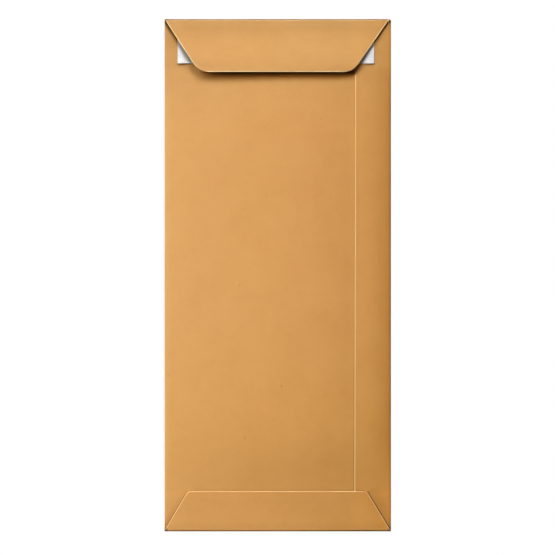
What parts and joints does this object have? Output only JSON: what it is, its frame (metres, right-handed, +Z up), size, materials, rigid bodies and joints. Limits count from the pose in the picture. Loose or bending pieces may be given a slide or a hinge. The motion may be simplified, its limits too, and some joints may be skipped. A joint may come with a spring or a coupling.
{
  "type": "paper envelope",
  "caption": "Slim kraft-paper pocket envelope with a side seam, glued bottom flap, open closing flap and a self-seal strip under its release liner.",
  "frame": {"origin": "middle of the envelope's outline on the surface it lies on, at the outer face of the front panel", "axes": "+X across the envelope, +Y along it towards the closing flap, +Z up out of the back, so the flaps and the side seam face up"},
  "size_m": [0.1016, 0.2296, 0.0039],
  "materials": {
    "kraft_paper": "plain uncoated brown kraft paper, faintly mottled",
    "seal_adhesive": "clear to milky pressure-sensitive adhesive film",
    "liner_paper": "smooth white coated release paper with a slight sheen"
  },
  "bodies": {
    "root": {"envelope": "kraft_paper", "adhesive_strip": "seal_adhesive", "release_liner": "liner_paper"}
  },
  "joints": []
}
